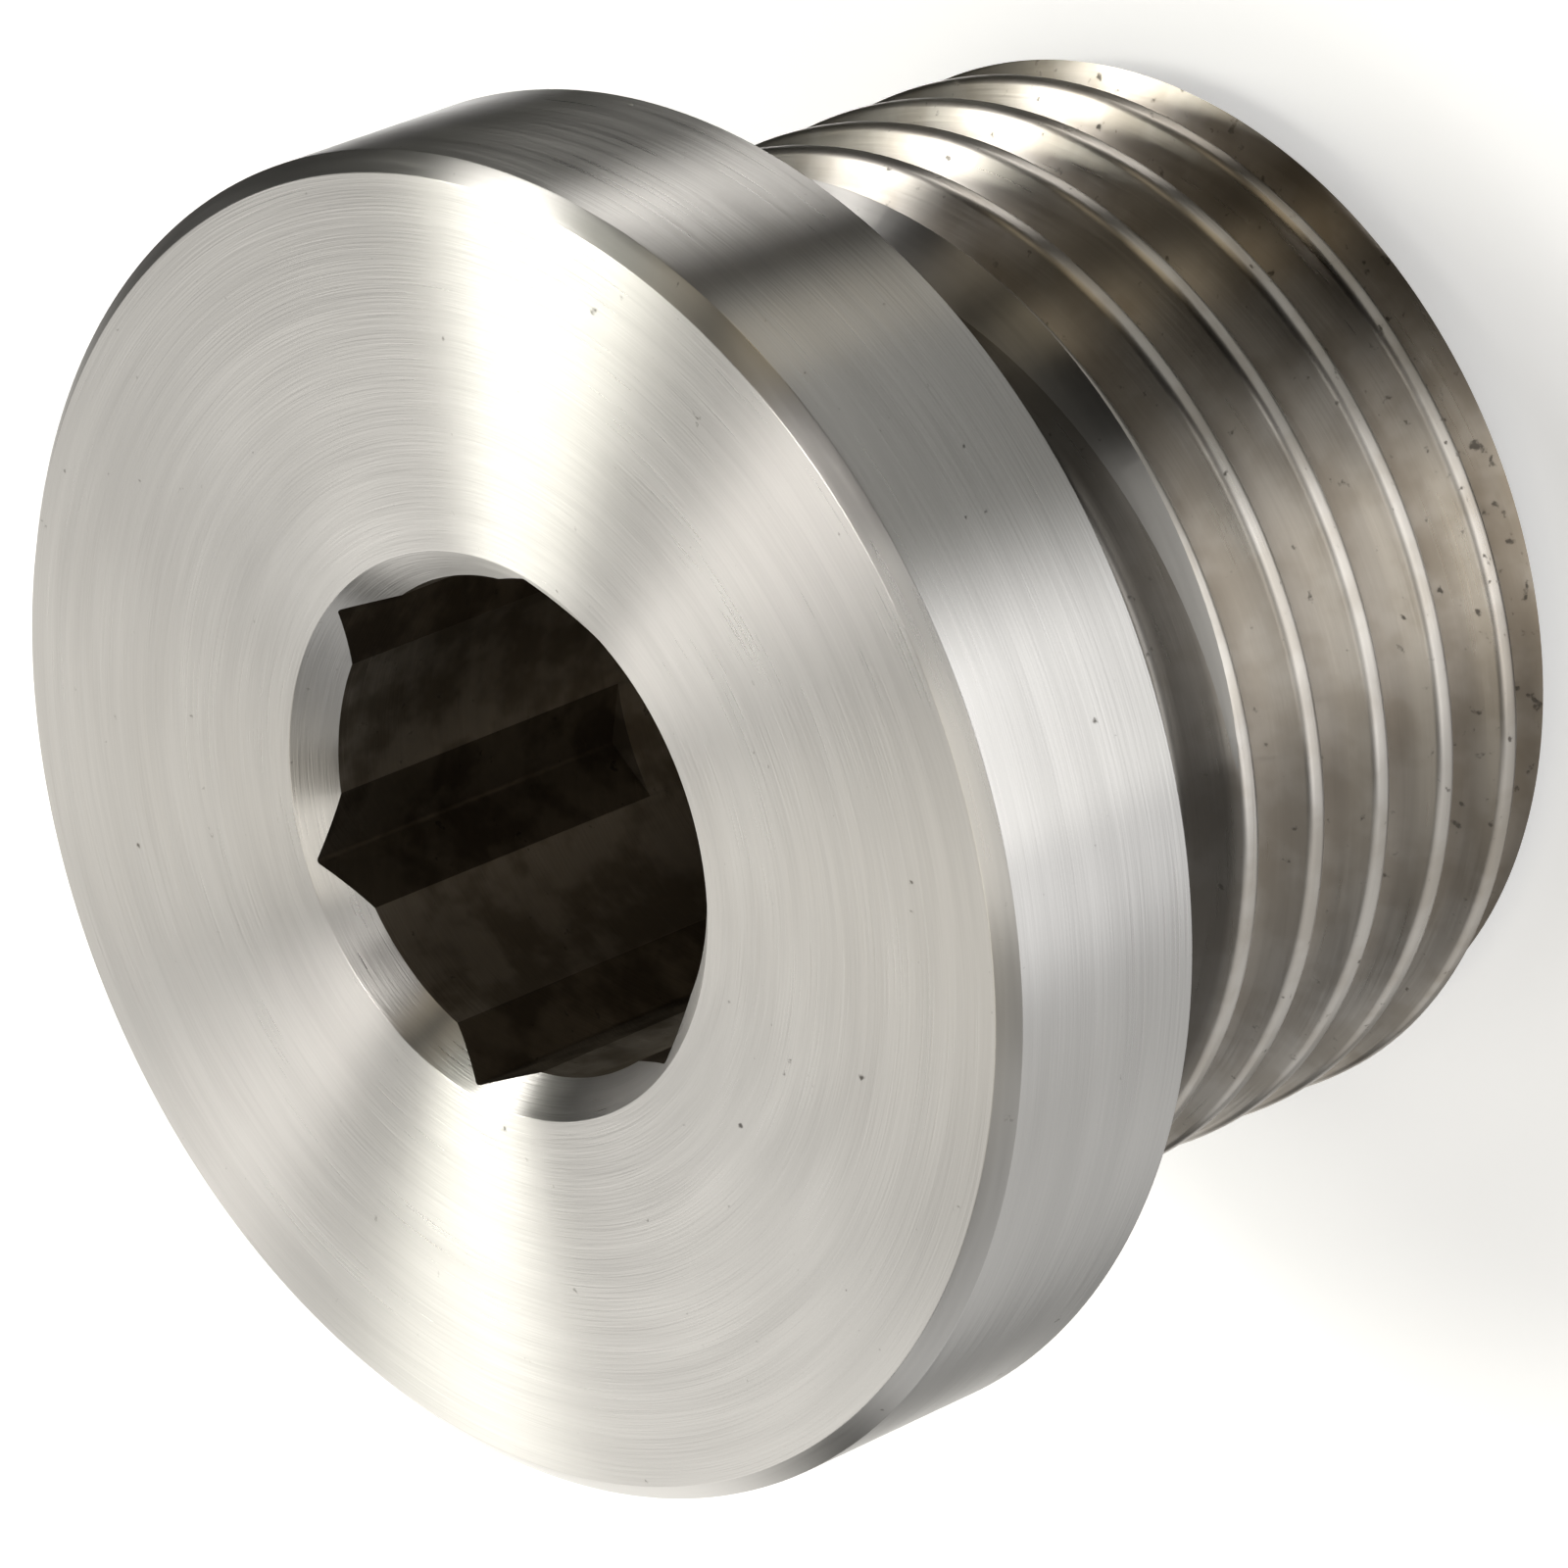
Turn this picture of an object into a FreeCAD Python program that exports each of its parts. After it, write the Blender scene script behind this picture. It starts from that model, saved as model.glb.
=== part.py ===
"""Blanking plug: a flanged screw plug turned in one piece from stainless bar.

A round flange with a hexagon socket in its face closes the port, and a
straight pipe thread on the shank holds it there. The frame is in millimetres.
Its origin is the centre of the flange's seating face, +Z runs out of the
socket, and the shank points down.
"""
import FreeCAD, Part
import math
import os

# Flange
FLANGE_DIAMETER = 26.0
FLANGE_THICKNESS = 4.9
FRONT_CHAMFER = 0.35
REAR_CHAMFER = 0.1

# Straight pipe thread on the shank, right-hand, 14 turns to the inch
THREAD_DIAMETER = 20.85
THREAD_PITCH = 25.4 / 14
THREAD_FLANK_ANGLE = 55.0
THREAD_DEPTH = 1.08
THREAD_ROOT_RADIUS = 0.24
THREAD_ROOT_FLATS = 3
THREAD_START_ANGLE = 0.0
THREAD_START_DEPTH = 2.78

# Shank
SHANK_LENGTH = 14.0
TIP_CHAMFER = 1.36

# Relief groove between the flange and the thread
RELIEF_DIAMETER = 18.1
RELIEF_WIDTH = 4.2
RELIEF_WALL_ANGLE = 30.0
RELIEF_CORNER_RADIUS = 0.4

# Hexagon socket
SOCKET_ACROSS_FLATS = 9.3
SOCKET_DEPTH = 8.0
SOCKET_CORNER_RADIUS = 0.12
PILOT_DIAMETER = 9.7
PILOT_DEPTH = 9.4
PILOT_POINT_ANGLE = 118.0
MOUTH_DIAMETER = 11.0
MOUTH_ANGLE = 90.0

# Overrun of a cutting tool beyond the surface that it leaves
OVERRUN = 1.0
THREAD_OVERRUN = 0.25

# Two lengths that differ by less than this are the same
SAME_LENGTH = 1e-4

AXIS_POINT = FreeCAD.Vector(0, 0, 0)
AXIS = FreeCAD.Vector(0, 0, 1)


def in_section(radius, height):
    """A point of a half section, which lies in the XZ plane."""
    return FreeCAD.Vector(radius, 0, height)


def revolved(points):
    """The solid of revolution of a closed half section."""
    outline = Part.makePolygon(points + points[:1])
    return Part.Face(outline).revolve(AXIS_POINT, AXIS, 360)


def rounded_ring(solid, radius, height, fillet):
    """Round the circular edge that lies at this radius and height."""
    edges = []
    for edge in solid.Edges:
        if not isinstance(edge.Curve, Part.Circle):
            continue
        centre = edge.Curve.Center
        off_height = abs(centre.z - height)
        off_radius = abs(edge.Curve.Radius - radius)
        if off_height < SAME_LENGTH and off_radius < SAME_LENGTH:
            edges.append(edge)
    return solid.makeFillet(fillet, edges)


def turned_blank():
    """Flange, relief groove and plain shank, as they come off the lathe."""
    flange_radius = FLANGE_DIAMETER / 2
    thread_radius = THREAD_DIAMETER / 2
    relief_radius = RELIEF_DIAMETER / 2
    tip_radius = thread_radius - TIP_CHAMFER
    wall_rise = (thread_radius - relief_radius) * math.tan(math.radians(RELIEF_WALL_ANGLE))
    relief_floor_end = -(RELIEF_WIDTH - wall_rise)
    blank = revolved([
        in_section(0, FLANGE_THICKNESS),
        in_section(flange_radius - FRONT_CHAMFER, FLANGE_THICKNESS),
        in_section(flange_radius, FLANGE_THICKNESS - FRONT_CHAMFER),
        in_section(flange_radius, REAR_CHAMFER),
        in_section(flange_radius - REAR_CHAMFER, 0),
        in_section(relief_radius, 0),
        in_section(relief_radius, relief_floor_end),
        in_section(thread_radius, -RELIEF_WIDTH),
        in_section(thread_radius, -(SHANK_LENGTH - TIP_CHAMFER)),
        in_section(tip_radius, -SHANK_LENGTH),
        in_section(0, -SHANK_LENGTH),
    ])
    return rounded_ring(blank, relief_radius, relief_floor_end, RELIEF_CORNER_RADIUS)


def thread_cutter():
    """The helical space between the ridges: a V with a rounded root.

    The root's arc is cut as a few flats, which lie within two hundredths of a
    millimetre of it. The cutter starts inside the relief groove, where it cuts
    nothing, and runs out past the tip.
    """
    half_angle = math.radians(THREAD_FLANK_ANGLE / 2)
    thread_radius = THREAD_DIAMETER / 2
    root_radius = thread_radius - THREAD_DEPTH
    arc_centre = root_radius + THREAD_ROOT_RADIUS
    arc_side = THREAD_ROOT_RADIUS * math.cos(half_angle)
    arc_top = arc_centre - THREAD_ROOT_RADIUS * math.sin(half_angle)
    outside = thread_radius + THREAD_OVERRUN
    mouth_side = arc_side + (outside - arc_top) * math.tan(half_angle)
    outline = [in_section(outside, -mouth_side)]
    arc_span = math.pi - 2 * half_angle
    for index in range(THREAD_ROOT_FLATS + 1):
        angle = arc_span * (index / THREAD_ROOT_FLATS - 0.5)
        depth = arc_centre - THREAD_ROOT_RADIUS * math.cos(angle)
        outline.append(in_section(depth, THREAD_ROOT_RADIUS * math.sin(angle)))
    outline.append(in_section(outside, mouth_side))
    profile = Part.makePolygon(outline + outline[:1])
    lowest = SHANK_LENGTH + mouth_side + THREAD_OVERRUN
    turns = math.ceil((lowest - THREAD_START_DEPTH) / THREAD_PITCH)
    height = turns * THREAD_PITCH
    path = Part.makeHelix(THREAD_PITCH, height, root_radius)
    cutter = Part.Wire(path.Edges).makePipeShell([profile], True, True)
    cutter.translate(FreeCAD.Vector(0, 0, -THREAD_START_DEPTH - height))
    cutter.rotate(AXIS_POINT, AXIS, THREAD_START_ANGLE)
    return cutter


def hexagon_broach():
    """The broach's prism, with slightly blunt corners."""
    corner_radius = SOCKET_ACROSS_FLATS / math.sqrt(3)
    bottom = FLANGE_THICKNESS - SOCKET_DEPTH
    length = SOCKET_DEPTH + OVERRUN
    corners = []
    for index in range(6):
        angle = math.radians(60 * index)
        side_x = corner_radius * math.cos(angle)
        side_y = corner_radius * math.sin(angle)
        corners.append(FreeCAD.Vector(side_x, side_y, bottom))
    outline = Part.makePolygon(corners + corners[:1])
    prism = Part.Face(outline).extrude(AXIS * length)
    upright = [edge for edge in prism.Edges if abs(edge.BoundBox.ZLength - length) < SAME_LENGTH]
    return prism.makeFillet(SOCKET_CORNER_RADIUS, upright)


def pilot_drill():
    """The pilot bore with its drill point and the conical mouth above it."""
    pilot_radius = PILOT_DIAMETER / 2
    mouth_radius = MOUTH_DIAMETER / 2
    half_mouth_angle = math.radians(MOUTH_ANGLE / 2)
    shoulder = FLANGE_THICKNESS - PILOT_DEPTH
    point = shoulder - pilot_radius / math.tan(math.radians(PILOT_POINT_ANGLE / 2))
    mouth_floor = FLANGE_THICKNESS - (mouth_radius - pilot_radius) / math.tan(half_mouth_angle)
    return revolved([
        in_section(0, point),
        in_section(pilot_radius, shoulder),
        in_section(pilot_radius, mouth_floor),
        in_section(mouth_radius + OVERRUN * math.tan(half_mouth_angle), FLANGE_THICKNESS + OVERRUN),
        in_section(0, FLANGE_THICKNESS + OVERRUN),
    ])


def plug_body():
    """The whole plug, one solid."""
    solid = turned_blank()
    solid = solid.cut(thread_cutter())
    solid = solid.cut(hexagon_broach())
    return solid.cut(pilot_drill())


def main():
    os.makedirs("parts", exist_ok=True)
    body = plug_body()
    solid = body.Solids[0]
    print("solids", len(body.Solids), "valid", solid.isValid(), "faces", len(solid.Faces))
    print("volume mm3", round(solid.Volume, 2))
    solid.exportStep("parts/plug_body.step")


main()
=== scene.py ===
"""Looks of a blanking plug turned from stainless bar.

The plug is one turned piece. Its flange, groove and shank are spun from one
half section, a die with the full thread form cuts the ridges, and a broach
with blunt corners cuts the hexagon.
"""
import math

import bmesh
import bpy
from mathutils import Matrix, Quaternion, Vector


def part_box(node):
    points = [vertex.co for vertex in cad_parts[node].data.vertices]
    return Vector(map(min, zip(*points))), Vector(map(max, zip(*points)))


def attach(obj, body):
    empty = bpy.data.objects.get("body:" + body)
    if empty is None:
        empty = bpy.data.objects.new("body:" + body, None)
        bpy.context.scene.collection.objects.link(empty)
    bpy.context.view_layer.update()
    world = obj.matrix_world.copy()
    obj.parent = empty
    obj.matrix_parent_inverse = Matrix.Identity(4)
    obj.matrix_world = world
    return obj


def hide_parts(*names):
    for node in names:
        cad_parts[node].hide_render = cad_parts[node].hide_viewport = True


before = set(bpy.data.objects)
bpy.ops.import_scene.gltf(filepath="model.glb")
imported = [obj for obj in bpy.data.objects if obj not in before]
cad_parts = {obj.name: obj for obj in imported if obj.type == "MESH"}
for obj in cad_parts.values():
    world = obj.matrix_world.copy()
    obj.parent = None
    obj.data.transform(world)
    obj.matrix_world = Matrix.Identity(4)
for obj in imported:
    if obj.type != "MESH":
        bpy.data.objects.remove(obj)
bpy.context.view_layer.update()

bl_info = {
    "name": "Blanking plug",
    "version": (1, 0, 0),
    "blender": (4, 5, 0),
    "location": "View3D > Sidebar > Plug",
    "description": "Dresses the turned plug and builds its studio",
    "category": "Object",
}

LOW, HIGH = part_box("plug_body")
MM = 0.001


def length(name, description, millimetres):
    """A length property, given in millimetres and kept in metres."""
    return bpy.props.FloatProperty(
        name=name, description=description, default=millimetres * MM, unit="LENGTH", precision=5
    )


def angle(name, description, degrees):
    """An angle property, given in degrees."""
    return bpy.props.FloatProperty(
        name=name, description=description, default=math.radians(degrees), subtype="ANGLE"
    )


def colour(name, description, light):
    """A colour property, given as shares of red, green and blue light."""
    return bpy.props.FloatVectorProperty(
        name=name, description=description, default=light, subtype="COLOR", min=0, max=1
    )


class PlugSizes(bpy.types.PropertyGroup):
    """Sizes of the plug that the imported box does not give."""

    front_chamfer: length("Front chamfer", "Chamfer on the flange's front edge", 0.35)
    rear_chamfer: length("Rear chamfer", "Chamfer on the flange's rear edge", 0.1)
    edge_round: length("Edge round", "Radius left on a deburred edge", 0.045)
    relief_radius: length("Groove radius", "Radius of the groove's floor", 9.05)
    relief_width: length("Groove width", "From the flange to the full thread", 4.2)
    relief_wall: angle("Groove wall", "Slope of the ramp from the groove up to the thread", 45)
    relief_corner: length("Groove corner", "Radius between the groove's floor and wall", 0.4)
    tip_chamfer: length("Tip chamfer", "Chamfer on the end of the thread", 1.36)
    thread_radius: length("Crest radius", "Radius over the thread's crests", 10.425)
    thread_pitch: length("Pitch", "Distance from crest to crest", 25.4 / 14)
    thread_flanks: angle("Flank angle", "Angle between the flanks of a groove", 55)
    thread_depth: length("Thread depth", "From crest to root", 1.08)
    root_round: length("Root round", "Radius of the thread's root", 0.24)
    crest_round: length("Crest round", "Radius on the edges of a crest", 0.2)
    first_root: length("First root", "First root under the flange, on the +X side", 2.78)
    die_stock: length("Die stock", "Left on the shank's radius for the die to cut", 0.135)
    socket_flats: length("Across flats", "Hexagon socket across its flats", 9.3)
    socket_depth: length("Socket depth", "Depth of the hexagon from the front", 8.0)
    socket_corner: length("Socket corner", "Radius in the hexagon's corners", 0.12)
    pilot_radius: length("Pilot radius", "Radius of the bore inside the hexagon", 4.85)
    pilot_depth: length("Pilot depth", "Depth of the bore from the front", 9.4)
    pilot_point: angle("Drill point", "Angle of the bore's conical bottom", 118)
    mouth_radius: length("Mouth radius", "Radius of the conical mouth", 5.5)


class PlugColours(bpy.types.PropertyGroup):
    """Colours of the steel, of its stains, and of the shade painted into its groove and socket."""

    bright: colour("Bright steel", "Turned faces", (0.61, 0.595, 0.575))
    handled: colour("Handled steel", "Thread, a little browned", (0.6, 0.565, 0.52))
    stain: colour("Stain", "Stains on the thread", (0.4, 0.355, 0.3))
    # The groove's colour is painted shade: a dark colour laid into the groove under the flange, where
    # shade falls.
    groove_shade: colour("Groove_shade", "Painted_shade held in the groove", (0.13, 0.12, 0.108))
    # The bore's colour and the two colours after it are darkened to paint the shade inside the bore and
    # the hexagon socket.
    bore: colour("Bore", "Wall of the bore", (0.32, 0.285, 0.24))
    socket_shade: colour("Socket_shade", "Hexagon's faces, and stains in the bore", (0.18, 0.153, 0.118))
    deeper_socket_shade: colour("Black soot", "Stains on the hexagon's faces", (0.09, 0.074, 0.056))


class PlugStudio(bpy.types.PropertyGroup):
    """Camera and floor of the studio."""

    camera_place: bpy.props.FloatVectorProperty(
        name="Camera place", description="Where the camera stands", unit="LENGTH", subtype="TRANSLATION",
        default=(-56.593 * MM, -147.519 * MM, 135.8 * MM), precision=5,
    )
    camera_aim: bpy.props.FloatVectorProperty(
        name="Camera aim", description="Direction that the camera looks in", subtype="DIRECTION",
        default=(0.26487, 0.70519, -0.65769), precision=5,
    )
    camera_roll: angle("Camera roll", "Turn of the camera round its line of sight", -112.32)
    focal_length: bpy.props.FloatProperty(
        name="Focal length", description="Focal length of the camera's lens", default=255.43, unit="CAMERA"
    )
    floor_reach: length("Floor reach", "From the middle of the floor to its edge", 2000)
    floor_glow: bpy.props.FloatProperty(
        name="Floor glow", description="Light that the floor gives by itself", default=0.38, min=0
    )


# Steps of one full turn
TURN_STEPS = 288
THREAD_STEPS = 180

# Millimetres that the camera's focal length belongs to
SENSOR_WIDTH = 36

# Points nearer than this are one point
SAME_PLACE = 0.003 * MM

# Edges that turn by more than this look sharp
SHARP_EDGE = math.radians(24)

# Widest angle that one facet of a rounded corner takes up, in degrees
ROUND_STEP = 14

# Material slots on the piece
TURNED, BORED, THREADED, BROACHED = range(4)


def round_corners(bm, corners):
    """Draw a polyline through (radius, height, round) corners and round them.

    The bevel reaches as far in from each corner as an arc of that radius does.
    """
    points = [Vector((radius, 0, height)) for radius, height, _ in corners]
    verts = [bm.verts.new(point) for point in points]
    for one, other in zip(verts, verts[1:]):
        bm.edges.new((one, other))
    for index in range(1, len(corners) - 1):
        rounding = corners[index][2]
        if not rounding:
            continue
        turn = (points[index] - points[index - 1]).angle(points[index + 1] - points[index])
        depth = rounding * (1 / math.cos(turn / 2) - 1)
        bmesh.ops.bevel(
            bm,
            geom=[verts[index]],
            offset=depth / ((2 - math.sqrt(2)) * math.sin(turn / 2)),
            offset_type="OFFSET",
            segments=max(3, math.ceil(math.degrees(turn) / ROUND_STEP)),
            profile=0.5,
            affect="VERTICES",
            material=-1,
        )


def made_piece(bm, name):
    """Turn a bmesh into a linked object."""
    mesh = bpy.data.meshes.new(name)
    bm.to_mesh(mesh)
    bm.free()
    piece = bpy.data.objects.new(name, mesh)
    bpy.context.scene.collection.objects.link(piece)
    return piece


def paint(bm, slot):
    """Give every face one material slot."""
    for face in bm.faces:
        face.material_index = slot


def turned_blank(sizes):
    """Flange, mouth, bore, groove and shank, spun from one half section."""
    top = HIGH.z
    tip = LOW.z
    rim = HIGH.x
    edge = sizes.edge_round
    stock_radius = sizes.thread_radius + sizes.die_stock
    mouth_floor = top - (sizes.mouth_radius - sizes.pilot_radius)
    shoulder = top - sizes.pilot_depth
    point = shoulder - sizes.pilot_radius / math.tan(sizes.pilot_point / 2)
    wall_slope = math.tan(sizes.relief_wall)
    full_thread = -sizes.relief_width
    wall_foot = full_thread + (sizes.thread_radius - sizes.relief_radius) * wall_slope
    wall_head = full_thread - sizes.die_stock * wall_slope
    tip_radius = sizes.thread_radius - sizes.tip_chamfer
    bm = bmesh.new()
    round_corners(bm, [
        (0, point, 0),
        (sizes.pilot_radius, shoulder, 0),
        (sizes.pilot_radius, mouth_floor, edge / 2),
        (sizes.mouth_radius, top, edge),
        (rim - sizes.front_chamfer, top, edge),
        (rim, top - sizes.front_chamfer, edge),
        (rim, sizes.rear_chamfer, edge),
        (rim - sizes.rear_chamfer, 0, edge),
        (sizes.relief_radius, 0, sizes.relief_corner / 2),
        (sizes.relief_radius, wall_foot, sizes.relief_corner),
        (stock_radius, wall_head, 0),
        (stock_radius, tip + stock_radius - tip_radius, 0),
        (tip_radius, tip, edge),
        (0, tip, 0),
    ])
    bmesh.ops.spin(
        bm, geom=bm.verts[:] + bm.edges[:], cent=(0, 0, 0), axis=(0, 0, 1), dvec=(0, 0, 0),
        angle=math.tau, steps=TURN_STEPS, use_merge=True, use_duplicate=False,
    )
    bmesh.ops.remove_doubles(bm, verts=bm.verts[:], dist=SAME_PLACE)
    bmesh.ops.recalc_face_normals(bm, faces=bm.faces[:])
    paint(bm, TURNED)
    for face in bm.faces:
        middle = face.calc_center_median()
        if middle.xy.length < sizes.mouth_radius and tip + SAME_PLACE < middle.z < mouth_floor:
            face.material_index = BORED
    return made_piece(bm, "turned_blank")


def spun_turn(bm, geom, rise):
    """Sweep a section through one full turn that rises by this much."""
    bmesh.ops.spin(
        bm, geom=geom, cent=(0, 0, 0), axis=(0, 0, 1), dvec=(0, 0, rise / THREAD_STEPS),
        angle=math.tau, steps=THREAD_STEPS, use_merge=False, use_duplicate=False,
    )


def raised_copy(bm, geom, rise):
    """Copy a swept turn and lift the copy."""
    copied = bmesh.ops.duplicate(bm, geom=geom)["geom"]
    risen = [item for item in copied if isinstance(item, bmesh.types.BMVert)]
    bmesh.ops.translate(bm, verts=risen, vec=(0, 0, rise))


def thread_die(sizes):
    """A helical die: the whole thread form inside, a plain wall outside."""
    pitch = sizes.thread_pitch
    half_flanks = sizes.thread_flanks / 2
    crest = sizes.thread_radius
    root = crest - sizes.thread_depth
    apex = root - sizes.root_round * (1 / math.sin(half_flanks) - 1)
    flank_width = (crest - apex) * math.tan(half_flanks)
    outside = crest + pitch / 2
    turns = math.ceil(-LOW.z / pitch)
    start = -sizes.first_root - pitch / 2 - turns * pitch
    bm = bmesh.new()
    round_corners(bm, [
        (crest, start, 0),
        (crest, start + pitch / 2 - flank_width, sizes.crest_round),
        (apex, start + pitch / 2, sizes.root_round),
        (crest, start + pitch / 2 + flank_width, sizes.crest_round),
        (crest, start + pitch, 0),
    ])
    round_corners(bm, [(outside, start, 0), (outside, start + pitch, 0)])
    spun_turn(bm, bm.verts[:] + bm.edges[:], pitch)
    one_turn = bm.verts[:] + bm.edges[:] + bm.faces[:]
    for turn in range(1, turns):
        raised_copy(bm, one_turn, turn * pitch)
    end_wall = [bm.verts.new((radius, 0, start)) for radius in (crest, outside)]
    end_edge = bm.edges.new(end_wall)
    walls_from = len(bm.faces)
    spun_turn(bm, end_wall + [end_edge], pitch)
    bm.faces.ensure_lookup_table()
    wall = bm.faces[walls_from:]
    wall_edges = {edge for face in wall for edge in face.edges}
    wall_verts = {vert for face in wall for vert in face.verts}
    raised_copy(bm, list(wall_verts) + list(wall_edges) + wall, turns * pitch)
    bmesh.ops.remove_doubles(bm, verts=bm.verts[:], dist=SAME_PLACE)
    open_edges = [edge for edge in bm.edges if edge.is_boundary]
    bmesh.ops.holes_fill(bm, edges=open_edges, sides=0)
    bmesh.ops.recalc_face_normals(bm, faces=bm.faces[:])
    paint(bm, THREADED)
    return made_piece(bm, "thread_die")


def hexagon_broach(sizes):
    """The broach: a hexagonal prism with blunt corners and one corner on +X."""
    sides = 6
    half_side = math.pi / sides
    overrun = sizes.mouth_radius - sizes.pilot_radius
    bm = bmesh.new()
    bmesh.ops.create_circle(
        bm, cap_ends=True, segments=sides, radius=sizes.socket_flats / 2 / math.cos(half_side)
    )
    corner = max(bm.verts, key=lambda vert: vert.co.x).co
    bmesh.ops.rotate(
        bm, verts=bm.verts[:], cent=(0, 0, 0),
        matrix=Quaternion((0, 0, 1), -math.atan2(corner.y, corner.x)).to_matrix(),
    )
    bmesh.ops.bevel(
        bm, geom=bm.verts[:], offset=sizes.socket_corner * math.tan(half_side),
        offset_type="OFFSET", segments=4, profile=0.5, affect="VERTICES", material=-1,
    )
    bmesh.ops.translate(bm, verts=bm.verts[:], vec=(0, 0, HIGH.z - sizes.socket_depth))
    pushed = bmesh.ops.extrude_face_region(bm, geom=bm.faces[:])
    tops = [item for item in pushed["geom"] if isinstance(item, bmesh.types.BMVert)]
    bmesh.ops.translate(bm, verts=tops, vec=(0, 0, sizes.socket_depth + overrun))
    bmesh.ops.recalc_face_normals(bm, faces=bm.faces[:])
    paint(bm, BROACHED)
    return made_piece(bm, "hexagon_broach")


def cut(piece, tools):
    """Cut the tools from the piece one after the other and drop them."""
    for tool in tools:
        step = piece.modifiers.new("cut", "BOOLEAN")
        step.operation = "DIFFERENCE"
        step.solver = "MANIFOLD"
        step.object = tool
    bpy.context.view_layer.update()
    graph = bpy.context.evaluated_depsgraph_get()
    done = bpy.data.meshes.new_from_object(piece.evaluated_get(graph))
    piece.modifiers.clear()
    piece.data = done
    for tool in tools:
        bpy.data.objects.remove(tool)


class Wire:
    """A shader value. Arithmetic on it adds Math nodes to its tree."""

    def __init__(self, tree, socket):
        self.tree = tree
        self.socket = socket

    def math(self, operation, *others):
        """Put this value, and others after it, through a Math node."""
        return node(self.tree, "ShaderNodeMath", {"operation": operation}, self, *others)

    def __add__(self, other):
        return self.math("ADD", other)

    __radd__ = __add__

    def __sub__(self, other):
        return self.math("SUBTRACT", other)

    def __rsub__(self, other):
        return node(self.tree, "ShaderNodeMath", {"operation": "SUBTRACT"}, other, self)

    def __mul__(self, other):
        return self.math("MULTIPLY", other)

    __rmul__ = __mul__

    def __truediv__(self, other):
        return self.math("DIVIDE", other)

    def smooth(self, low, high, at_low, at_high):
        """A smooth change from one value to another as this one goes from low to high."""
        return node(
            self.tree, "ShaderNodeMapRange", {"interpolation_type": "SMOOTHSTEP"},
            self, low, high, at_low, at_high,
        )

    def above(self, low, high):
        """0 below low, 1 above high, smooth between them."""
        return self.smooth(low, high, 0.0, 1.0)

    def within(self, reach, edge):
        """1 below reach, 0 above it, smooth over edge on either side."""
        return self.smooth(reach - edge, reach + edge, 1.0, 0.0)


def node(tree, kind, settings, *values, sockets=None, output=0):
    """Add a node, set it, feed its sockets in order or by name, and return an output."""
    made = tree.nodes.new(kind)
    for name, value in settings.items():
        setattr(made, name, value)
    fed = list(zip([socket for socket in made.inputs if socket.enabled], values))
    fed += [(made.inputs[name], value) for name, value in (sockets or {}).items()]
    for socket, value in fed:
        if isinstance(value, Wire):
            tree.links.new(value.socket, socket)
        else:
            socket.default_value = value
    outputs = [socket for socket in made.outputs if socket.enabled]
    return Wire(tree, outputs[output]) if outputs else None


def empty_tree(owner):
    """The node tree of a material or a world, with nothing in it."""
    owner.use_nodes = True
    owner.node_tree.nodes.clear()
    return owner.node_tree


def parts(tree, vector):
    """The three components of a vector."""
    return [node(tree, "ShaderNodeSeparateXYZ", {}, vector, output=index) for index in range(3)]


def scaled(tree, vector, factor):
    """A vector times a number."""
    return node(tree, "ShaderNodeVectorMath", {"operation": "SCALE"}, vector, factor)


def blend(tree, share, low, high):
    """A colour between two colours."""
    ends = [end if isinstance(end, Wire) else (*end, 1) for end in (low, high)]
    return node(tree, "ShaderNodeMix", {"data_type": "RGBA"}, share, *ends)


def darker(light, share):
    """A colour with this share of its light."""
    return tuple(share * part for part in light)


# Marks left by the tool: pitch across them in millimetres, and how often they break off
FINE_MARKS = (0.05, 4.0)
WIDE_MARKS = (0.35, 1.5)
DULL_PATCHES = (1.6, 2.0)
MARK_DEPTH = 0.02 * MM

# Slope of the tool's path from a face round onto the rim
FEED_SLOPE = 0.6

# Stains and specks, and the reach of the painted shade in the groove, in millimetres
STAIN_SIZE = 1.3
SPECK_SIZE = 0.3
TIP_REACH = (8.0, 13.0)
GROOVE_SHADE_END = (-4.7, -4.0)
GROOVE_SHADE_START = (-0.03, 0.0)
GROOVE_SHADE_EDGE = 0.15


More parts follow.
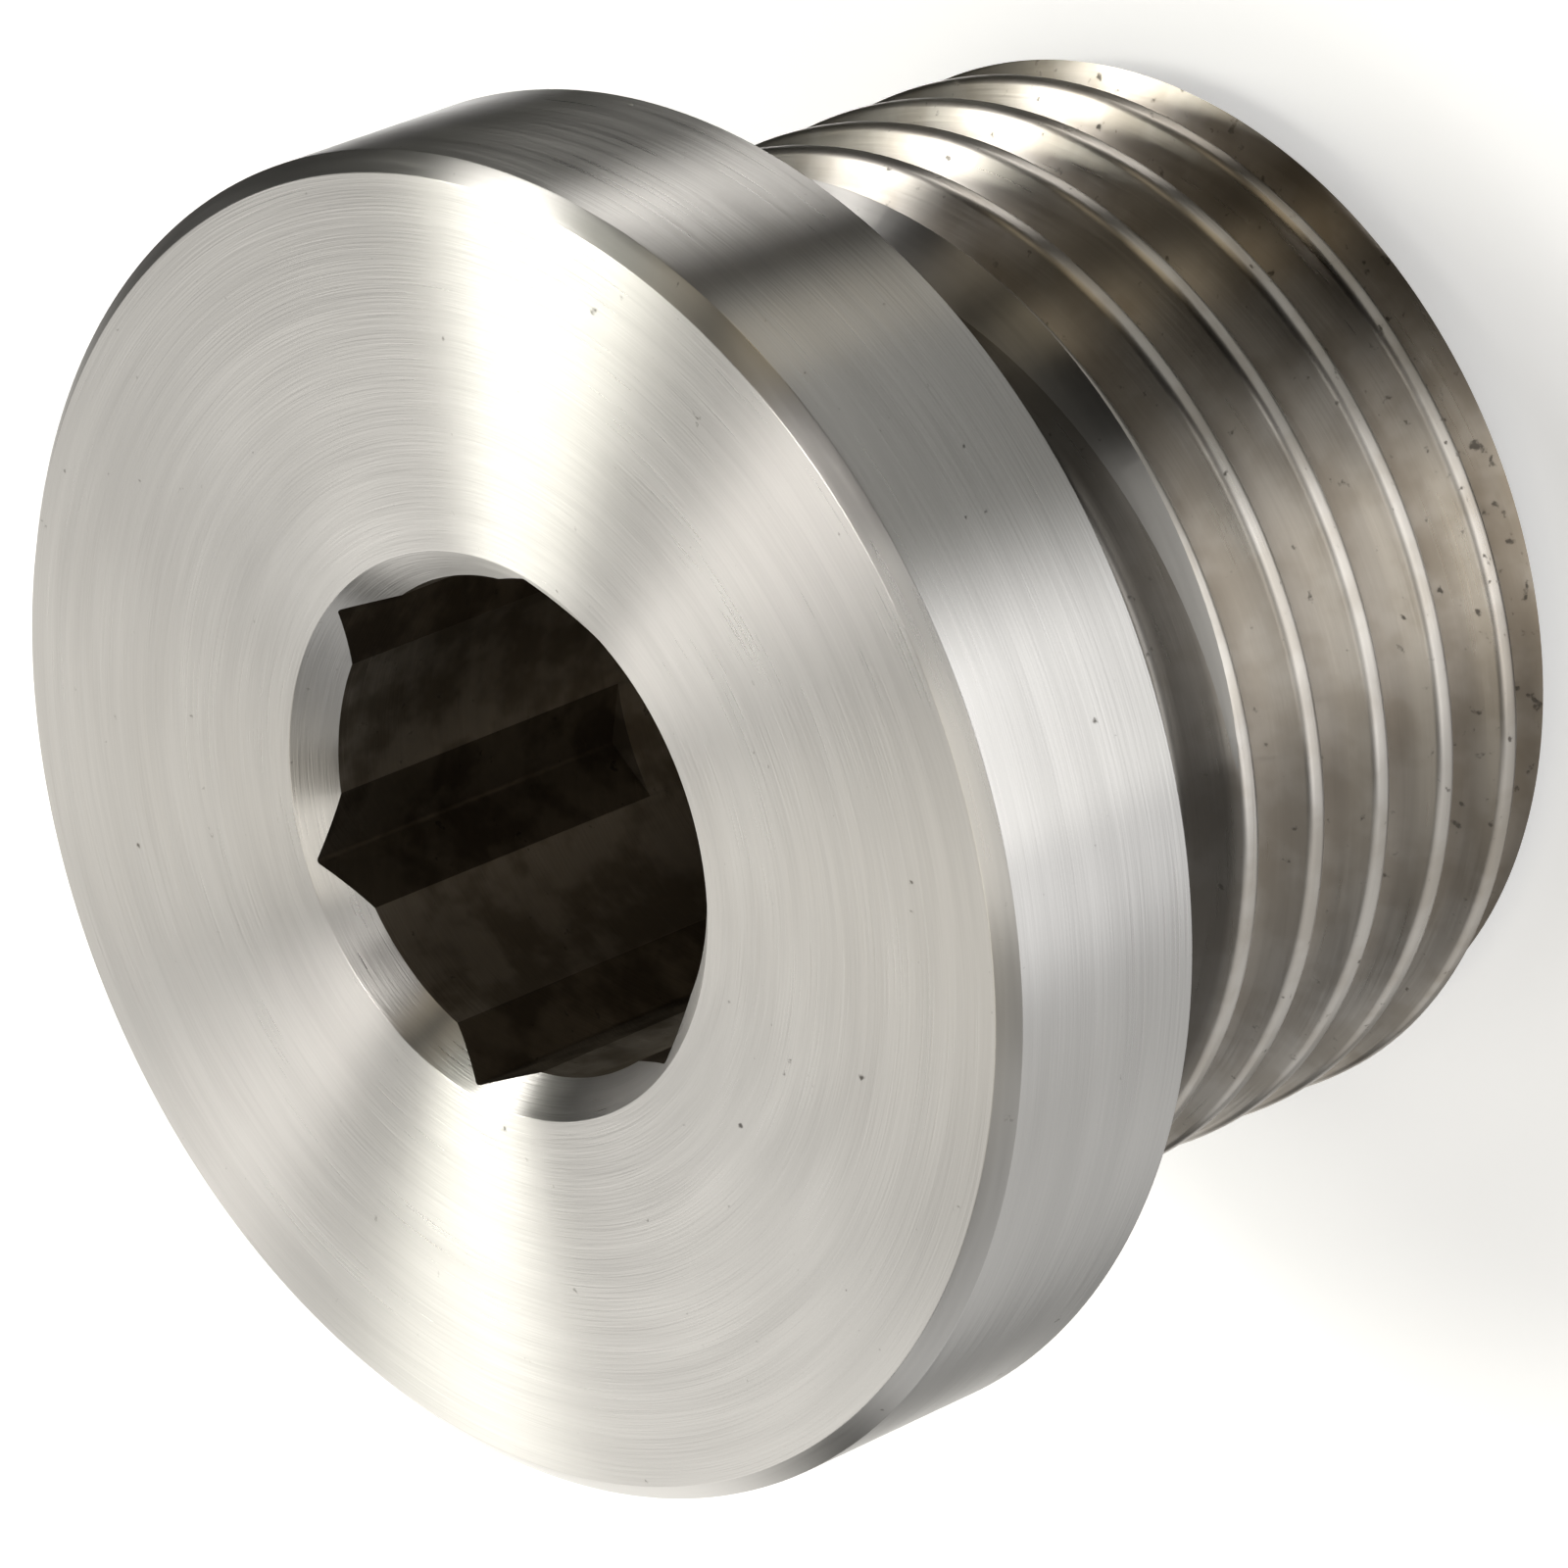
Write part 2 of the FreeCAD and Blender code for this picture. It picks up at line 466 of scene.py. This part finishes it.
def steel(name, clean, stain, staining, dirtiness, roughness, grain, anisotropy, painted_groove_shade=None):
    """Turned steel: grooves round the axis, seen in gloss, bump and colour.

    staining is how strong the stains are, and dirtiness how many specks there
    are. The last argument gives the shade painted into the groove: its colour,
    its share, and the radius in millimetres that it fills the groove to.
    """
    material = bpy.data.materials.new(name)
    tree = empty_tree(material)
    millimetres = scaled(tree, node(tree, "ShaderNodeTexCoord", {}, output=3), 1 / MM)
    x, y, z = parts(tree, millimetres)
    radius = (x * x + y * y).math("SQRT")
    path = radius + z * FEED_SLOPE
    around = node(tree, "ShaderNodeCombineXYZ", {}, x / radius, y / radius, 0.0)

    def streaks(pitch, breaks, detail=1.0):
        """Noise that runs round the axis."""
        return node(
            tree, "ShaderNodeTexNoise", {"noise_dimensions": "4D"},
            scaled(tree, around, breaks), path / pitch, 1.0, detail, 0.6,
        )

    def spots(size):
        """Noise of spots of one size."""
        return node(tree, "ShaderNodeTexNoise", {}, millimetres, 1 / size, 3.0, 0.55)

    fine = streaks(*FINE_MARKS)
    bands = (streaks(*WIDE_MARKS, detail=2.0) * 0.6 + fine * 0.4).above(0.32, 0.66)
    toward_tip = (z * -1.0).above(*TIP_REACH)
    specks = (spots(SPECK_SIZE) + toward_tip * dirtiness + dirtiness).above(0.72, 0.82)
    look = blend(tree, bands, darker(clean, 0.9), clean)
    if staining:
        stained = (spots(STAIN_SIZE).above(0.4, 0.62) + toward_tip) * staining
        look = blend(tree, stained, look, stain)
    # Painted shade: the colour darkens in the groove under the flange, where shade falls.
    if painted_groove_shade:
        groove_shade, share, filled = painted_groove_shade
        groove_shade_mask = (z.above(*GROOVE_SHADE_END) - z.above(*GROOVE_SHADE_START)) * radius.within(filled, GROOVE_SHADE_EDGE)
        look = blend(tree, groove_shade_mask * share, look, groove_shade)
    look = blend(tree, specks * 0.65, look, darker(stain, 0.25))
    gloss = (streaks(*DULL_PATCHES) - 0.5) * 0.1 + (fine - 0.5) * 0.1 + specks * 0.2 + roughness
    normal = node(tree, "ShaderNodeBump", {}, sockets={
        "Strength": grain, "Distance": MARK_DEPTH, "Height": fine,
    })
    surface = node(tree, "ShaderNodeBsdfPrincipled", {}, sockets={
        "Base Color": look, "Metallic": 1.0, "Roughness": gloss, "Anisotropic": anisotropy,
        "Anisotropic Rotation": 0.25, "Normal": normal,
    })
    node(tree, "ShaderNodeOutputMaterial", {}, surface)
    return material


def turned_steel(colours):
    """Bright turned faces, with a little painted shade where they reach into the groove."""
    return steel(
        "turned steel", colours.bright, colours.stain, staining=0.0, dirtiness=0.01,
        roughness=0.3, grain=0.3, anisotropy=1.0, painted_groove_shade=(colours.groove_shade, 0.3, 10.5),
    )


def bored_steel(colours):
    """The bore's wall, darkened in colour as painted shade."""
    return steel(
        "bored steel", colours.bore, colours.socket_shade, staining=1.0, dirtiness=0.05,
        roughness=0.45, grain=0.4, anisotropy=0.6,
    )


def threaded_steel(colours):
    """The thread, browned and specked, with painted shade on its first flank."""
    return steel(
        "threaded steel", colours.handled, colours.stain, staining=0.45, dirtiness=0.05,
        roughness=0.3, grain=0.2, anisotropy=0.95, painted_groove_shade=(colours.groove_shade, 0.7, 10.25),
    )


def broached_steel(colours):
    """The hexagon's faces, the darkest of all, as painted shade in the socket."""
    return steel(
        "broached steel", colours.socket_shade, colours.deeper_socket_shade, staining=1.0, dirtiness=0.05,
        roughness=0.55, grain=0.4, anisotropy=0.0,
    )


class SoftPanel:
    """A soft light panel on the sky round the plug. Angles are in degrees.

    turn is measured from the camera, counterclockwise seen from above, and rise
    from the level of the plug. The panel fades over edge degrees.
    """

    def __init__(self, turn, rise, width, height, edge, light):
        self.turn = turn
        self.rise = rise
        self.width = width
        self.height = height
        self.edge = edge
        self.light = light

    def share(self, turn, rise):
        """1 on the panel, 0 off it."""
        aside = turn - self.turn
        if abs(self.turn) + self.width / 2 + self.edge > 180:
            aside = aside.math("WRAP", 180.0, -180.0)
        across = aside.math("ABSOLUTE").within(self.width / 2, self.edge)
        return across * (rise - self.rise).math("ABSOLUTE").within(self.height / 2, self.edge)


PANELS = {
    "key": SoftPanel(134, 51.3, width=34, height=15.2, edge=1, light=(9.2, 9.2, 8.3)),
    "key corner": SoftPanel(108, 33.5, width=16.5, height=15, edge=2, light=(7.4, 7.3, 7.1)),
    "top strip": SoftPanel(103, 80, width=58, height=19, edge=2, light=(11.2, 10.8, 10.3)),
    "overhead": SoftPanel(-80.5, 78.5, width=152, height=41, edge=15, light=(1.65, 1.57, 1.4)),
    "back": SoftPanel(-167, 3, width=53, height=92, edge=11, light=(1.46, 1.44, 1.38)),
    "front": SoftPanel(-25, -22.5, width=63, height=54, edge=14, light=(1.82, 1.83, 1.84)),
    "side": SoftPanel(-91.5, -13, width=62.5, height=84, edge=7, light=(0.8, 0.8, 0.79)),
    "bench": SoftPanel(17.5, -37, width=100.5, height=31, edge=2, light=(0.72, 0.72, 0.69)),
    "edge strip": SoftPanel(90, -31.5, width=11, height=37, edge=2, light=(2.9, 2.85, 2.75)),
    "warm wall": SoftPanel(70.5, 22, width=12, height=25, edge=2, light=(0.58, 0.5, 0.37)),
    "warm corner": SoftPanel(53, 7.5, width=12, height=58, edge=2, light=(0.55, 0.47, 0.33)),
    "table": SoftPanel(174, -50, width=30, height=26, edge=2, light=(6.0, 5.9, 5.8)),
    "front high": SoftPanel(-12, 46, width=70, height=18, edge=6, light=(1.6, 1.58, 1.52)),
}


def studio_world(camera_turn):
    """A dark studio with soft light panels round the plug."""
    world = bpy.data.worlds.new("studio")
    tree = empty_tree(world)
    x, y, z = parts(tree, node(tree, "ShaderNodeTexCoord", {}))
    turn = (y.math("ARCTAN2", x) * math.degrees(1) - camera_turn).math("WRAP", 180.0, -180.0)
    rise = z.math("ARCSINE") * math.degrees(1)
    glow = (0, 0, 0)
    for panel in PANELS.values():
        lit = scaled(tree, panel.light, panel.share(turn, rise))
        glow = node(tree, "ShaderNodeVectorMath", {"operation": "ADD"}, glow, lit)
    node(tree, "ShaderNodeOutputWorld", {}, node(tree, "ShaderNodeBackground", {}, glow))
    return world


def paper(glow):
    """The floor's pale paper."""
    material = bpy.data.materials.new("pale paper")
    tree = empty_tree(material)
    surface = node(tree, "ShaderNodeBsdfPrincipled", {}, sockets={
        "Base Color": (0.9, 0.9, 0.9, 1), "Roughness": 0.9,
        "Emission Color": (1, 1, 1, 1), "Emission Strength": glow,
    })
    node(tree, "ShaderNodeOutputMaterial", {}, surface)
    return material


class PLUG_OT_body(bpy.types.Operator):
    """Build the turned, threaded and broached plug"""

    bl_idname = "plug.body"
    bl_label = "Plug body"

    def execute(self, context):
        sizes = context.scene.plug_sizes
        colours = context.scene.plug_colours
        body = turned_blank(sizes)
        body.name = "plug"
        tools = [thread_die(sizes), hexagon_broach(sizes)]
        finishes = (turned_steel, bored_steel, threaded_steel, broached_steel)
        steels = [finish(colours) for finish in finishes]
        for piece in (body, *tools):
            for material in steels:
                piece.data.materials.append(material)
        cut(body, tools)
        body.data.polygons.foreach_set("use_smooth", [True] * len(body.data.polygons))
        body.data.set_sharp_from_angle(angle=SHARP_EDGE)
        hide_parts("plug_body")
        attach(body, "root")
        return {"FINISHED"}


class PLUG_OT_studio(bpy.types.Operator):
    """Build the floor, the light and the camera"""

    bl_idname = "plug.studio"
    bl_label = "Studio"

    def execute(self, context):
        studio = context.scene.plug_studio
        bm = bmesh.new()
        bmesh.ops.create_grid(bm, x_segments=1, y_segments=1, size=studio.floor_reach)
        bmesh.ops.translate(bm, verts=bm.verts[:], vec=(0, 0, LOW.z))
        floor = made_piece(bm, "floor")
        floor.data.materials.append(paper(studio.floor_glow))
        floor.visible_glossy = False
        place = Vector(studio.camera_place)
        context.scene.world = studio_world(math.degrees(math.atan2(place.y, place.x)))
        context.scene.view_settings.view_transform = "Standard"
        camera = bpy.data.objects.new("camera", bpy.data.cameras.new("camera"))
        context.scene.collection.objects.link(camera)
        camera.location = place
        camera.rotation_mode = "QUATERNION"
        sight = Vector(studio.camera_aim).to_track_quat("-Z", "Y")
        camera.rotation_quaternion = sight @ Quaternion((0, 0, 1), studio.camera_roll)
        camera.data.lens = studio.focal_length
        camera.data.sensor_width = SENSOR_WIDTH
        camera.data.clip_start = 10 * MM
        context.scene.camera = camera
        return {"FINISHED"}


class PLUG_PT_sidebar(bpy.types.Panel):
    """Lists the sizes, the colours and the steps"""

    bl_idname = "PLUG_PT_sidebar"
    bl_label = "Blanking plug"
    bl_space_type = "VIEW_3D"
    bl_region_type = "UI"
    bl_category = "Plug"

    def draw(self, context):
        for name, kind in GROUPS.items():
            group = getattr(context.scene, name)
            for size in kind.__annotations__:
                self.layout.prop(group, size)
        for step in STEPS:
            self.layout.operator(step.bl_idname)


GROUPS = {"plug_sizes": PlugSizes, "plug_colours": PlugColours, "plug_studio": PlugStudio}
STEPS = (PLUG_OT_body, PLUG_OT_studio)
CLASSES = (*GROUPS.values(), *STEPS, PLUG_PT_sidebar)


def register():
    """Add the sizes, the operators and the sidebar to Blender."""
    for kind in CLASSES:
        bpy.utils.register_class(kind)
    for name, kind in GROUPS.items():
        setattr(bpy.types.Scene, name, bpy.props.PointerProperty(type=kind))


def unregister():
    """Take them out again."""
    for name in GROUPS:
        delattr(bpy.types.Scene, name)
    for kind in reversed(CLASSES):
        bpy.utils.unregister_class(kind)


def main():
    """Build the plug and its studio."""
    register()
    bpy.ops.plug.body()
    bpy.ops.plug.studio()


if __name__ == "__main__":
    main()
